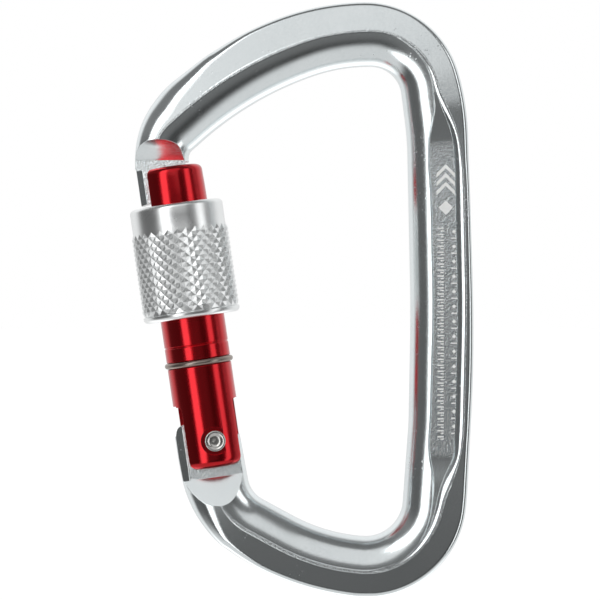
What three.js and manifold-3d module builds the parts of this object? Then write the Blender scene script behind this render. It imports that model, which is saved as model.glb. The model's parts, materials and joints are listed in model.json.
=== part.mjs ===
// Screw-lock D connector (carabiner): a forged body, a sprung gate that swings inwards on a rivet,
// and a knurled sleeve that screws along the gate and covers the nose to lock it.
// Millimetres, +Z up the long axis, +X from the gate to the spine, +Y from front to back.
// The origin is the rope seat, the top of the opening, where the connector hangs.

import * as THREE from 'three';
import { mergeVertices } from 'three/addons/utils/BufferGeometryUtils.js';
import Module from 'manifold-3d';

const wasm = await Module();
wasm.setup();

// ---- Driving dimensions ----

// forged body
const LENGTH = 115;
const WIDTH = 65.6;
const DEPTH = 11;
const OUTER_EDGE_ROUND = 1.1;
const INNER_ROUND = 5.3;
const INNER_FLAT = 0.8;
const LEAST_SIDE = 0.1; // straight left between two corner arcs
const CROWN_BAR = 12.15;
const SPINE_BAR = 12.0;
const FOOT_BAR = 11.8;

// recessed web on each side of the spine
const WEB_WIDTH = 5.6;
const WEB_DEPTH = 1.5;
const WEB_FROM_EDGE = 2.9;
const WEB_TOP_MARGIN = 17;
const WEB_BOTTOM_MARGIN = 21.8;
const WEB_END_ROUND = 1.2;
const WEB_END_LENGTH = 14;
const WEB_SIDE_ROUND = 12;
const WEB_LONG_ROUND = 200;
const WEB_DRAFT = 0.8;

// tongues that the gate straddles, at the hinge and at the nose
const TONGUE_THICKNESS = 5.3;
const TONGUE_GAP = 0.25;
const PIVOT_FROM_LEFT = 15.68;
const PIVOT_FROM_BOTTOM = 30.26;
const NOSE_FROM_LEFT = 6.7;
const NOSE_FROM_TOP = 31.78;
const NOSE_INNER_REACH = 2.95;
const NOSE_LIP_WIDTH = 4.6;
const NOSE_LIP_DROP = 3.2;
const NOSE_LIP_CHAMFER = 1;
const NOSE_PROUD = 0.25;
const NOSE_MILL_RADIUS = 5.4;
const RAMP_CLEARANCE = 0.52;
const RAMP_LENGTH = 5.5;
const TONGUE_STEP_HEIGHT = 1.8; // the step outside the gate's cheeks, on the hinge tongue
const TONGUE_STEP_RISE = 1.8;
const TONGUE_STEP_BEND = 1.5;
const TONGUE_STEP_OVERHANG = 0.6;
const TONGUE_STEP_SHOULDER = 0.3;
const TONGUE_REAR_HEIGHT = 0.4;
const TONGUE_REAR_REACH = 0.9;
const CAM_START_DEGREES = 126;

// gate
const GATE_RADIUS = 6.25;
const GATE_AXIS_OFFSET = 1.15;
const GATE_BOTTOM = 5.2;
const GATE_END_ROUND = 1.7;
const GATE_TOP_ROUND = 1.1;
const GATE_NOSE_GAP = 0.55;
const CHEEK_DEPTH = 1.8;
const HINGE_SLOT_TOP = 7.5;
const SHOULDER_HEIGHT = 18.8;
const SHOULDER_GROOVE = 0.15;

// screw thread: a groove cut in the gate, and the ridge in the sleeve that runs in it
const THREAD_PITCH = 2.5;
const THREAD_DEPTH = 0.6;
const THREAD_OUTER_WIDTH = 1.6;
const THREAD_INNER_WIDTH = 1.1;
const THREAD_CLEARANCE = 0.2;
const THREAD_SIDE_CLEARANCE = 0.3;
const THREAD_BOTTOM = 25;
const THREAD_TURNS = 8.25;
const THREAD_END_DEPTH = 0.2; // share of the depth where the thread starts
const THREAD_FADE_TURNS = 0.2;
const NUT_FROM_TURN = 3.5;
const NUT_TURNS = 1.5;

// knurled sleeve
const SLEEVE_BOTTOM = 24.15;
const SLEEVE_LENGTH = 22.2;
const COLLAR_WALL = 1.8;
const KNURL_PROUD = 0.4;
const KNURL_CHAMFER = 0.3;
const COLLAR_HEIGHT = 4.9;
const COLLAR_ROUND = 0.8;
const FOOT_BAND = 1.3;
const FOOT_STEP = 0.1;
const SLEEVE_BORE_CLEARANCE = 0.2;
const SLEEVE_MOUTH_CLEARANCE = 0.28;
const SLEEVE_MOUTH_CHAMFER = 0.35;
const SLEEVE_MOUTH_DEPTH = 6.9;
const SLEEVE_TIP_CLEARANCE = 0.25;

// wire ring that stops the sleeve
const RING_HEIGHT = 15.35;
const RING_WIRE = 1.1;
const RING_SINK = 0.1;
const RING_CLEARANCE = 0.28;
const RING_GAP_DEGREES = 16;

// rivet
const RIVET_RADIUS = 1.5;
const RIVET_HEAD_RADIUS = 2.05;
const RIVET_HEAD_HEIGHT = 0.6;
const RIVET_DIMPLE_RADIUS = 1.2;
const RIVET_DIMPLE_DEPTH = 0.35;
const RIVET_DIMPLE_FLOOR = 0.84;
const RIVET_HEAD_CHAMFER = 0.3;
const RIVET_HEAD_SHOULDER = 0.2;
const RIVET_RIM_DROP = 0.05;
const RIVET_CLEARANCE = 0.28;
const SPOT_FACE_RADIUS = 2.7;
const SPOT_FACE_DEPTH = 0.7;

// plunger and spring in the gate's bore
const CAM_OFFSET_X = 1.0;
const CAM_OFFSET_Z = -1.5;
const CAM_RADIUS = 7.3;
const PLUNGER_RADIUS = 1.95;
const PLUNGER_HEAD = 3.6;
const PLUNGER_STEM_RADIUS = 0.85;
const PLUNGER_STEM = 5;
const PLUNGER_GAP = 0.28;
const BORE_RADIUS = 2.25;
const BORE_TOP = 24;
const BORE_OFFSET_X = -0.15;
const SPRING_WIRE = 0.6;
const SPRING_RADIUS = 1.55;
const SPRING_TURNS = 8;
const SPRING_SEAT_GAP = 0.25;

// how finely round shapes are faceted
const ROUND_SEGMENTS = 24;
const OUTLINE_SEGMENTS = 4;
const EDGE_SEGMENTS = 2;
const BORE_EDGE_SEGMENTS = 5;
const WIRE_SIDES = 6;
const SPRING_STEPS = 12;
const RING_STEPS = 36;
const PLUNGER_SEGMENTS = 16;
const CHAMFERED = 0.3; // where a two-step corner bends, as a share of its round
const PAST = 20; // how far a cutting tool runs past what it cuts

// ---- Places worked out from them ----

const TOP = LENGTH / 2;
const BOTTOM = -LENGTH / 2;
const LEFT = -WIDTH / 2;
const RIGHT = WIDTH / 2;
const HALF_DEPTH = DEPTH / 2;
const TONGUE_HALF = TONGUE_THICKNESS / 2;
const SLOT_HALF = TONGUE_HALF + TONGUE_GAP;

// the gate's own frame has its origin at the rivet, z along the gate and x towards the spine
const pivot = new THREE.Vector2(LEFT + PIVOT_FROM_LEFT, BOTTOM + PIVOT_FROM_BOTTOM);
const nose = new THREE.Vector2(LEFT + NOSE_FROM_LEFT, TOP - NOSE_FROM_TOP);
const reach = nose.clone().sub(pivot);
const gateLength = Math.sqrt(reach.lengthSq() - GATE_AXIS_OFFSET ** 2);
const gateTilt = Math.atan2(reach.x, reach.y) + Math.atan2(GATE_AXIS_OFFSET, gateLength);
const axisX = -GATE_AXIS_OFFSET;
const noseFace = gateLength + GATE_NOSE_GAP;
const sleeveTop = SLEEVE_BOTTOM + SLEEVE_LENGTH;
const threadRoot = GATE_RADIUS - THREAD_DEPTH;
const sleeveBore = GATE_RADIUS + SLEEVE_BORE_CLEARANCE;
const camTop = CAM_OFFSET_Z + CAM_RADIUS;
const plungerBottom = camTop + PLUNGER_GAP;
const plungerShoulder = plungerBottom + PLUNGER_HEAD;
const ringRadius = GATE_RADIUS - RING_SINK;
const ringInner = ringRadius - RING_WIRE / 2;
const cheekReach = GATE_RADIUS - CHEEK_DEPTH;
const spotFace = GATE_RADIUS - SPOT_FACE_DEPTH;
const noseOuterReach = GATE_RADIUS + NOSE_PROUD;
const mouthRadius = Math.hypot(noseOuterReach, TONGUE_HALF) + SLEEVE_MOUTH_CLEARANCE;
const collarRadius = mouthRadius + COLLAR_WALL;
const knurlRadius = collarRadius + KNURL_PROUD;
const heelCorner = Math.hypot(axisX + GATE_RADIUS - GATE_END_ROUND, GATE_BOTTOM - GATE_END_ROUND);
const rampStart = heelCorner + GATE_END_ROUND + RAMP_CLEARANCE;

// rope seat: the underside of the crown, on the line that the load follows
const SEAT_FROM_RIGHT = 22.4;
const seat = new THREE.Vector2(RIGHT - SEAT_FROM_RIGHT, TOP - CROWN_BAR);

// ---- Helpers ----

function toSolid(geometry) {
  const bare = geometry.clone();
  bare.deleteAttribute('normal');
  bare.deleteAttribute('uv');
  const merged = mergeVertices(bare, 1e-4);
  const corners = [];
  for (let i = 0; i < merged.index.count; i += 3) {
    const [a, b, c] = [0, 1, 2].map((k) => merged.index.getX(i + k));
    if (a !== b && b !== c && c !== a) corners.push(a, b, c);
  }
  return new wasm.Manifold(new wasm.Mesh({
    numProp: 3,
    vertProperties: new Float32Array(merged.attributes.position.array),
    triVerts: new Uint32Array(corners),
  }));
}

function toMesh(solid, name, material) {
  const { vertProperties, triVerts } = solid.getMesh();
  const geometry = new THREE.BufferGeometry();
  geometry.setAttribute('position', new THREE.BufferAttribute(vertProperties, 3));
  geometry.setIndex(new THREE.BufferAttribute(triVerts, 1));
  geometry.computeVertexNormals();
  const mesh = new THREE.Mesh(geometry, material);
  mesh.name = name;
  return mesh;
}

// A closed outline through corners [x, z, radius], each rounded with an arc that its sides touch.
// A radius that its sides have no room for is made smaller.
function roundedOutline(corners) {
  const bends = corners.map(([x, z, radius], i) => {
    const here = new THREE.Vector2(x, z);
    const [bx, bz] = corners.at(i - 1);
    const [nx, nz] = corners[(i + 1) % corners.length];
    const back = new THREE.Vector2(bx, bz).sub(here);
    const ahead = new THREE.Vector2(nx, nz).sub(here);
    const side = ahead.length();
    const half = Math.acos(back.normalize().dot(ahead.normalize())) / 2;
    return { here, back, ahead, side, half, radius, tangent: radius / Math.tan(half) };
  });
  const room = bends.map(({ side, tangent }, i) => {
    const next = bends[(i + 1) % bends.length];
    return (side - LEAST_SIDE) / (tangent + next.tangent);
  });
  const shape = new THREE.Shape();
  bends.forEach(({ here, back, ahead, half, radius }, i) => {
    const fitted = radius * Math.min(1, room[i], room.at(i - 1));
    const middle = back.clone().add(ahead).normalize();
    const centre = middle.multiplyScalar(fitted / Math.sin(half)).add(here);
    const start = back.clone().multiplyScalar(fitted / Math.tan(half)).add(here).sub(centre);
    const end = ahead.clone().multiplyScalar(fitted / Math.tan(half)).add(here).sub(centre);
    const clockwise = start.cross(end) < 0;
    shape.absarc(centre.x, centre.y, fitted, start.angle(), end.angle(), clockwise);
  });
  return shape;
}

// A plate standing in the XZ plane, centred on y = 0, with a rounded or flared edge.
function plate(shape, { depth, edge = 0, edgeDepth = edge, offset = -edge, segments = EDGE_SEGMENTS }) {
  const geometry = new THREE.ExtrudeGeometry(shape, {
    depth: depth - 2 * edgeDepth,
    bevelEnabled: edgeDepth > 0,
    bevelThickness: edgeDepth,
    bevelSize: edge,
    bevelOffset: offset,
    bevelSegments: segments,
    curveSegments: OUTLINE_SEGMENTS,
  });
  geometry.translate(0, 0, edgeDepth - depth / 2);
  geometry.rotateX(Math.PI / 2);
  return toSolid(geometry);
}

// A bar of constant section, drawn in (y, z) and running along x.
function crossBar(shape, fromX, toX) {
  const geometry = new THREE.ExtrudeGeometry(shape, {
    depth: toX - fromX,
    bevelEnabled: false,
    curveSegments: 2 * OUTLINE_SEGMENTS,
  });
  geometry.rotateX(Math.PI / 2);
  geometry.rotateZ(Math.PI / 2);
  geometry.translate(fromX, 0, 0);
  return toSolid(geometry);
}

function box(x0, x1, y0, y1, z0, z1) {
  const geometry = new THREE.BoxGeometry(x1 - x0, y1 - y0, z1 - z0);
  geometry.translate((x0 + x1) / 2, (y0 + y1) / 2, (z0 + z1) / 2);
  return toSolid(geometry);
}

// Turned about a line parallel to z; the profile lists [radius, height] pairs, bottom to top outside.
function turned(profile, x = 0, segments = ROUND_SEGMENTS) {
  const points = profile.map(([radius, height]) => new THREE.Vector2(radius, height));
  const geometry = new THREE.LatheGeometry(points, segments);
  geometry.rotateX(Math.PI / 2);
  geometry.translate(x, 0, 0);
  return toSolid(geometry);
}

// Turned about the y axis, for the rivet and its hole.
function turnedAcross(profile) {
  const points = profile.map(([radius, height]) => new THREE.Vector2(radius, height));
  return toSolid(new THREE.LatheGeometry(points, ROUND_SEGMENTS));
}

// A helical ridge round a line parallel to z, counted in turns up from THREAD_BOTTOM.
// It narrows from the outer radius to the inner one and fades out at each end.
function threadRidge({ outer, inner, from = 0, turns, slimmer = 0, x = axisX }) {
  const outerHalf = THREAD_OUTER_WIDTH / 2 - slimmer;
  const innerHalf = THREAD_INNER_WIDTH / 2 - slimmer;
  const section = new THREE.Shape([
    new THREE.Vector2(-outerHalf, 0),
    new THREE.Vector2(outerHalf, 0),
    new THREE.Vector2(innerHalf, inner - outer),
    new THREE.Vector2(-innerHalf, inner - outer),
  ]);
  const steps = turns * ROUND_SEGMENTS;
  const geometry = new THREE.ExtrudeGeometry(section, { depth: turns, steps, bevelEnabled: false });
  const position = geometry.attributes.position;
  for (let i = 0; i < position.count; i += 1) {
    const turn = position.getZ(i);
    const fromEnd = Math.min(turn, turns - turn);
    const risen = THREAD_END_DEPTH + (1 - THREAD_END_DEPTH) * (fromEnd / THREAD_FADE_TURNS);
    const fade = Math.min(1, risen);
    const radius = outer + position.getY(i) * fade;
    const angle = (from + turn) * 2 * Math.PI;
    const height = THREAD_BOTTOM + position.getX(i) + (from + turn) * THREAD_PITCH;
    position.setXYZ(i, x + radius * Math.cos(angle), radius * Math.sin(angle), height);
  }
  return toSolid(geometry);
}

class Helix extends THREE.Curve {
  constructor(radius, bottom, rise, turns, startTurn = 0) {
    super();
    Object.assign(this, { radius, bottom, rise, turns, startTurn });
  }

  getPoint(t, target = new THREE.Vector3()) {
    const angle = (this.startTurn + t * this.turns) * 2 * Math.PI;
    const height = this.bottom + t * this.rise;
    return target.set(this.radius * Math.cos(angle), this.radius * Math.sin(angle), height);
  }
}

function wire(path, diameter, steps, x) {
  const section = new THREE.Shape().absarc(0, 0, diameter / 2, 0, 2 * Math.PI);
  const geometry = new THREE.ExtrudeGeometry(section, {
    steps,
    extrudePath: path,
    curveSegments: WIRE_SIDES / 2,
    bevelEnabled: false,
  });
  geometry.translate(x, 0, 0);
  return toSolid(geometry);
}

// Moves a solid from the gate's frame into the body's.
function fromGateFrame(solid) {
  return solid.rotate([0, THREE.MathUtils.radToDeg(gateTilt), 0]).translate([pivot.x, 0, pivot.y]);
}

// ---- Materials ----

const aluminium = new THREE.MeshStandardMaterial({ color: 0xb9bec4, roughness: 0.28, metalness: 1 });
const redAnodised = new THREE.MeshStandardMaterial({ color: 0xa01420, roughness: 0.3, metalness: 1 });
const knurled = new THREE.MeshStandardMaterial({ color: 0xc6c8ca, roughness: 0.42, metalness: 1 });
const steel = new THREE.MeshStandardMaterial({ color: 0x9a958e, roughness: 0.35, metalness: 1 });

// ---- Forged body ----

// The outside, clockwise from the nose.
function outerOutline() {
  return roundedOutline([
    [LEFT + 0.1, TOP - 20.5, 19], // shoulder over the nose
    [LEFT + 19.2, TOP - 6.3, 64], // long slope of the arm
    [RIGHT - 30.3, TOP - 0.3, 50], // crown
    [RIGHT - 7, TOP + 0.6, 18.8], // corner over the rope seat
    [RIGHT - 1.2, TOP - 19.6, 49], // spine, above
    [RIGHT + 0.3, -10, 310], // spine, hollowed very slightly
    [RIGHT - 1.2, BOTTOM + 19.6, 60], // spine, below
    [RIGHT - 3.2, BOTTOM - 2.3, 19.4], // corner of the foot
    [RIGHT - 35.3, BOTTOM + 1.3, 55], // foot
    [LEFT + 10.7, BOTTOM + 13.4, 22.4], // heel
    [LEFT + 8.3, BOTTOM + 26.3, 30], // beside the hinge
    [LEFT, TOP - 32.5, 8], // beside the nose
  ]);
}

// The opening, clockwise from the nose, where the bar is widest.
function innerOutline() {
  const crown = TOP - CROWN_BAR;
  const spine = RIGHT - SPINE_BAR;
  const foot = BOTTOM + FOOT_BAR;
  return roundedOutline([
    [LEFT + 10.1, TOP - 29.2, 2.2], // inside of the nose
    [LEFT + 22.6, crown - 5.95, 64], // slope of the arm
    [spine - 13.6, crown + 0.1, 33], // crown
    [spine - 2.5, crown + 0.05, 6], // corner over the rope seat
    [spine - 0.7, crown - 13.95, 62], // spine, above
    [spine, -2, 300], // spine
    [spine - 0.4, foot + 21.7, 60], // spine, below
    [spine - 2.1, foot - 1.1, 7.3], // corner of the foot
    [spine - 16.8, foot + 0.2, 34], // foot
    [LEFT + 22.4, foot + 8, 5.5], // corner by the hinge
  ]);
}

function forgedRing() {
  const blank = plate(outerOutline(), { depth: DEPTH, edge: OUTER_EDGE_ROUND });
  const opening = plate(innerOutline(), {
    depth: DEPTH + 2 * TONGUE_GAP,
    edge: -INNER_ROUND,
    edgeDepth: HALF_DEPTH + TONGUE_GAP - INNER_FLAT / 2,
    offset: INNER_ROUND,
    segments: BORE_EDGE_SEGMENTS,
  });
  return blank.subtract(opening);
}

// One web pocket; it is cut into both faces.
function webPocket() {
  const outside = RIGHT - WEB_FROM_EDGE;
  const inside = outside - WEB_WIDTH;
  const top = TOP - WEB_TOP_MARGIN;
  const bottom = BOTTOM + WEB_BOTTOM_MARGIN;
  const shape = roundedOutline([
    [inside + 0.6, top, WEB_END_ROUND],
    [outside - 1.2, top - WEB_END_LENGTH, WEB_SIDE_ROUND],
    [outside + 0.4, 0, WEB_LONG_ROUND],
    [outside - 0.6, bottom + WEB_END_LENGTH, WEB_SIDE_ROUND],
    [inside + 1.3, bottom, WEB_END_ROUND],
    [inside - 0.3, bottom + WEB_END_LENGTH, WEB_SIDE_ROUND],
    [inside - 0.3, top - WEB_END_LENGTH, WEB_SIDE_ROUND],
  ]);
  return plate(shape, { depth: 2 * WEB_DEPTH, edge: WEB_DRAFT });
}

// What is cut away between the two tongues, in the gate's frame.
function gateOpening() {
  const tongueLeft = axisX - noseOuterReach;
  const noseInner = axisX + NOSE_INNER_REACH;
  const sleeveCorner = axisX - collarRadius + COLLAR_ROUND;
  const tipRadius = Math.hypot(sleeveTop, sleeveCorner) + SLEEVE_TIP_CLEARANCE;
  const lipRight = tongueLeft + NOSE_LIP_WIDTH;
  const lipTop = sleeveTop + SLEEVE_TIP_CLEARANCE + NOSE_LIP_DROP;
  const camStart = THREE.MathUtils.degToRad(CAM_START_DEGREES);
  const camLeft = CAM_OFFSET_X + CAM_RADIUS * Math.cos(camStart);
  const camRight = axisX + cheekReach + TONGUE_REAR_REACH;
  const camEnd = Math.acos((camRight - CAM_OFFSET_X) / CAM_RADIUS);
  const stepLeft = tongueLeft - TONGUE_STEP_OVERHANG;
  const stepShoulder = stepLeft + TONGUE_STEP_SHOULDER;
  const stepTop = TONGUE_STEP_HEIGHT + TONGUE_STEP_RISE;
  const stepBend = tongueLeft + TONGUE_STEP_BEND;
  const shape = new THREE.Shape();
  shape.moveTo(-PAST, TONGUE_STEP_HEIGHT);
  shape.lineTo(stepLeft, TONGUE_STEP_HEIGHT);
  shape.quadraticCurveTo(stepShoulder, stepTop - TONGUE_STEP_SHOULDER, stepBend, stepTop);
  shape.lineTo(camLeft, CAM_OFFSET_Z + CAM_RADIUS * Math.sin(camStart));
  shape.absarc(CAM_OFFSET_X, CAM_OFFSET_Z, CAM_RADIUS, camStart, camEnd, true);
  shape.lineTo(camRight, TONGUE_REAR_HEIGHT);
  shape.lineTo(PAST, TONGUE_REAR_HEIGHT);
  shape.lineTo(PAST, noseFace);
  shape.lineTo(noseInner, noseFace);
  shape.lineTo(noseInner, lipTop + NOSE_LIP_CHAMFER);
  shape.lineTo(noseInner - NOSE_LIP_CHAMFER, lipTop);
  shape.lineTo(lipRight, lipTop);
  shape.absarc(0, 0, tipRadius, Math.acos(lipRight / tipRadius), Math.acos(tongueLeft / tipRadius), false);
  shape.lineTo(tongueLeft, noseFace);
  shape.lineTo(-PAST, noseFace);
  return plate(shape, { depth: DEPTH + PAST });
}

// What is milled off each face to leave the tongues, in the gate's frame; side is 1 or -1.
function tongueMilling(side) {
  const outside = side * (HALF_DEPTH + PAST);
  const face = side * TONGUE_HALF;
  const noseCut = new THREE.Shape();
  noseCut.moveTo(outside, gateLength / 2);
  noseCut.lineTo(face, gateLength / 2);
  noseCut.lineTo(face, noseFace);
  const centre = face + side * NOSE_MILL_RADIUS;
  const startAngle = side > 0 ? Math.PI : 0;
  noseCut.absarc(centre, noseFace, NOSE_MILL_RADIUS, startAngle, Math.PI / 2, side > 0);
  noseCut.lineTo(outside, noseFace + NOSE_MILL_RADIUS);
  const rampRise = HALF_DEPTH - TONGUE_HALF;
  const hingeCut = new THREE.Shape();
  hingeCut.moveTo(face, gateLength / 2);
  hingeCut.lineTo(outside, gateLength / 2);
  hingeCut.lineTo(outside, -rampStart - RAMP_LENGTH * (PAST / rampRise + 1));
  hingeCut.lineTo(face, -rampStart);
  const across = [axisX - 2 * GATE_RADIUS, axisX + 2 * GATE_RADIUS];
  return crossBar(noseCut, ...across).add(crossBar(hingeCut, ...across));
}

function rivetHole() {
  const radius = RIVET_RADIUS + RIVET_CLEARANCE;
  return turnedAcross([[0, -PAST], [radius, -PAST], [radius, PAST], [0, PAST]]);
}

function carabinerBody() {
  let body = forgedRing();
  const pocket = webPocket();
  body = body.subtract(pocket.translate([0, HALF_DEPTH, 0])).subtract(pocket.translate([0, -HALF_DEPTH, 0]));
  body = body.subtract(fromGateFrame(gateOpening()));
  body = body.subtract(fromGateFrame(tongueMilling(1))).subtract(fromGateFrame(tongueMilling(-1)));
  return body.subtract(fromGateFrame(rivetHole()));
}

// ---- Gate, in the gate's frame ----

function gate() {
  const corner = GATE_END_ROUND * CHAMFERED;
  const topCorner = GATE_TOP_ROUND * CHAMFERED;
  const grooveHalf = RING_WIRE / 2 + RING_CLEARANCE;
  const groove = ringInner - RING_CLEARANCE;
  let solid = turned([
    [0, -GATE_BOTTOM],
    [GATE_RADIUS - GATE_END_ROUND, -GATE_BOTTOM],
    [GATE_RADIUS - corner, -GATE_BOTTOM + corner],
    [GATE_RADIUS, -GATE_BOTTOM + GATE_END_ROUND],
    [GATE_RADIUS, RING_HEIGHT - grooveHalf],
    [groove, RING_HEIGHT - grooveHalf],
    [groove, RING_HEIGHT + grooveHalf],
    [GATE_RADIUS, RING_HEIGHT + grooveHalf],
    [GATE_RADIUS, SHOULDER_HEIGHT - SHOULDER_GROOVE],
    [GATE_RADIUS - SHOULDER_GROOVE, SHOULDER_HEIGHT],
    [GATE_RADIUS, SHOULDER_HEIGHT + SHOULDER_GROOVE],
    [GATE_RADIUS, gateLength - GATE_TOP_ROUND],
    [GATE_RADIUS - topCorner, gateLength - topCorner],
    [GATE_RADIUS - GATE_TOP_ROUND, gateLength],
    [0, gateLength],
  ], axisX);
  const pastWall = GATE_RADIUS + THREAD_CLEARANCE;
  solid = solid.subtract(threadRidge({ outer: pastWall, inner: threadRoot, turns: THREAD_TURNS }));
  const far = GATE_RADIUS + PAST;
  const cheekLeft = axisX - cheekReach;
  const noseSlotFloor = sleeveTop - TONGUE_GAP;
  const noseSlotBack = axisX + NOSE_INNER_REACH + TONGUE_GAP;
  solid = solid.subtract(box(-far, far, -SLOT_HALF, SLOT_HALF, -far, HINGE_SLOT_TOP));
  solid = solid.subtract(box(-far, cheekLeft, -far, far, -far, HINGE_SLOT_TOP - TONGUE_GAP));
  solid = solid.subtract(box(-far, noseSlotBack, -SLOT_HALF, SLOT_HALF, noseSlotFloor, gateLength + far));
  solid = solid.subtract(box(-far, cheekLeft, -far, far, noseSlotFloor, gateLength + far));
  const boreProfile = [[0, 0], [BORE_RADIUS, 0], [BORE_RADIUS, BORE_TOP], [0, BORE_TOP + BORE_RADIUS / 2]];
  solid = solid.subtract(turned(boreProfile, BORE_OFFSET_X));
  for (const side of [1, -1]) {
    const ends = [side * spotFace, side * PAST].sort((a, b) => a - b);
    const spot = [[0, ends[0]], [SPOT_FACE_RADIUS, ends[0]], [SPOT_FACE_RADIUS, ends[1]], [0, ends[1]]];
    solid = solid.subtract(turnedAcross(spot));
  }
  return solid.subtract(rivetHole());
}

// ---- Small parts, in the gate's frame ----

function rivet() {
  const seatLevel = spotFace + RIVET_CLEARANCE / 2;
  const top = seatLevel + RIVET_HEAD_HEIGHT;
  const floor = top - RIVET_DIMPLE_DEPTH;
  const half = [
    [RIVET_RADIUS, 0],
    [RIVET_RADIUS, seatLevel],
    [RIVET_HEAD_RADIUS, seatLevel],
    [RIVET_HEAD_RADIUS, top - RIVET_HEAD_SHOULDER],
    [RIVET_HEAD_RADIUS - RIVET_HEAD_CHAMFER, top],
    [RIVET_DIMPLE_RADIUS, top - RIVET_RIM_DROP],
    [RIVET_DIMPLE_FLOOR, floor],
    [0, floor],
  ];
  const mirrored = half.slice(1).reverse().map(([radius, height]) => [radius, -height]);
  return turnedAcross([...mirrored, ...half.slice(1)]);
}

function plunger() {
  const stemTop = plungerShoulder + PLUNGER_STEM;
  return turned([
    [0, plungerBottom],
    [PLUNGER_RADIUS, plungerBottom],
    [PLUNGER_RADIUS, plungerShoulder],
    [PLUNGER_STEM_RADIUS, plungerShoulder],
    [PLUNGER_STEM_RADIUS, stemTop],
    [0, stemTop],
  ], BORE_OFFSET_X, PLUNGER_SEGMENTS);
}

function spring() {
  const lift = SPRING_WIRE / 2 + SPRING_SEAT_GAP;
  const bottom = plungerShoulder + lift;
  const path = new Helix(SPRING_RADIUS, bottom, BORE_TOP - lift - bottom, SPRING_TURNS);
  return wire(path, SPRING_WIRE, SPRING_TURNS * SPRING_STEPS, BORE_OFFSET_X);
}

function stopRing() {
  const share = 1 - RING_GAP_DEGREES / 360;
  const start = 0.25 + RING_GAP_DEGREES / 720;
  const path = new Helix(ringRadius, RING_HEIGHT, 0, share, start);
  return wire(path, RING_WIRE, RING_STEPS, axisX);
}

function screwSleeve() {
  const mouthFloor = sleeveTop - SLEEVE_MOUTH_DEPTH;
  const collarCorner = COLLAR_ROUND * CHAMFERED;
  const knurlTop = sleeveTop - COLLAR_HEIGHT;
  const knurlBottom = SLEEVE_BOTTOM + FOOT_BAND;
  const solid = turned([
    [sleeveBore, SLEEVE_BOTTOM],
    [collarRadius - KNURL_CHAMFER, SLEEVE_BOTTOM],
    [knurlRadius - FOOT_STEP, knurlBottom - KNURL_CHAMFER],
    [knurlRadius, knurlBottom],
    [knurlRadius, knurlTop - KNURL_CHAMFER],
    [collarRadius, knurlTop],
    [collarRadius, sleeveTop - COLLAR_ROUND],
    [collarRadius - collarCorner, sleeveTop - collarCorner],
    [collarRadius - COLLAR_ROUND, sleeveTop],
    [mouthRadius + SLEEVE_MOUTH_CHAMFER, sleeveTop],
    [mouthRadius, sleeveTop - SLEEVE_MOUTH_CHAMFER],
    [mouthRadius, mouthFloor],
    [sleeveBore, mouthFloor],
    [sleeveBore, SLEEVE_BOTTOM],
  ], axisX, 2 * ROUND_SEGMENTS);
  return solid.add(threadRidge({
    outer: sleeveBore + THREAD_CLEARANCE,
    inner: threadRoot + THREAD_CLEARANCE,
    from: NUT_FROM_TURN,
    turns: NUT_TURNS,
    slimmer: THREAD_SIDE_CLEARANCE,
  }));
}

// ---- Assembly ----

const onGate = new THREE.Group();
onGate.position.set(pivot.x, 0, pivot.y);
onGate.rotation.y = gateTilt;
onGate.add(
  toMesh(gate(), 'gate', redAnodised),
  toMesh(rivet(), 'gate_rivet', steel),
  toMesh(plunger(), 'spring_plunger', steel),
  toMesh(spring(), 'gate_spring', steel),
  toMesh(stopRing(), 'sleeve_stop_ring', steel),
  toMesh(screwSleeve(), 'screw_sleeve', knurled),
);

const connector = new THREE.Group();
connector.add(toMesh(carabinerBody(), 'carabiner_body', aluminium), onGate);
connector.position.set(-seat.x, 0, -seat.y);

export default connector;
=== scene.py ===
# %% [markdown]
# A screw-lock D connector: a forged aluminium body, a red anodised gate on a rivet, a wire ring and a
# knurled sleeve that screws along the gate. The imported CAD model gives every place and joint. Each piece
# that shows is modelled again here at full smoothness and rides on the same body as its CAD node.

# %% Load the frame
import json
import math

import bmesh
import bpy
import numpy as np
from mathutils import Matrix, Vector


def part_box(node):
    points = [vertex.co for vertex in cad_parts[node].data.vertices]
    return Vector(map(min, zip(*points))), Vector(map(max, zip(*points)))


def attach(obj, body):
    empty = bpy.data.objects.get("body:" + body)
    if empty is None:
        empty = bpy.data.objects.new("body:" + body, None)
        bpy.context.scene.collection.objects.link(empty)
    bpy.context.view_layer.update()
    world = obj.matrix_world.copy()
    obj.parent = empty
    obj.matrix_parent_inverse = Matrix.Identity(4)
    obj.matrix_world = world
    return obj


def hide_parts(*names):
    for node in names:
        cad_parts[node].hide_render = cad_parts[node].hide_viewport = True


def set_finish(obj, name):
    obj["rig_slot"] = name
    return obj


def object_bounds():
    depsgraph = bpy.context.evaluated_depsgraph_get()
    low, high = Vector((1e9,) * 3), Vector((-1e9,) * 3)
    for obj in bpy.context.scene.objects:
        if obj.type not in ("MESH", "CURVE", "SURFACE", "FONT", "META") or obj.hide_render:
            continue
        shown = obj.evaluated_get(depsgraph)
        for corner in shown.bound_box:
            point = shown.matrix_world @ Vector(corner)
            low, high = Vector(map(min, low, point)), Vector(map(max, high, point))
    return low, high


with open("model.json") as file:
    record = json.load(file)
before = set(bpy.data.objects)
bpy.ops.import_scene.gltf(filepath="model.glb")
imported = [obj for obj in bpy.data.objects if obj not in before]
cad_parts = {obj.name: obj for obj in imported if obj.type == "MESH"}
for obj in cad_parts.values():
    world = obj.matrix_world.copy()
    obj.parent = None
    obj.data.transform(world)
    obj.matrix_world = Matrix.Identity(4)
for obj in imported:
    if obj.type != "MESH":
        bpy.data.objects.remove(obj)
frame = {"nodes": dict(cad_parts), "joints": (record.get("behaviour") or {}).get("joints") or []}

cad_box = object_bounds()
print("CAD box in mm:", [[round(v * 1000, 2) for v in corner] for corner in cad_box])

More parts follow.
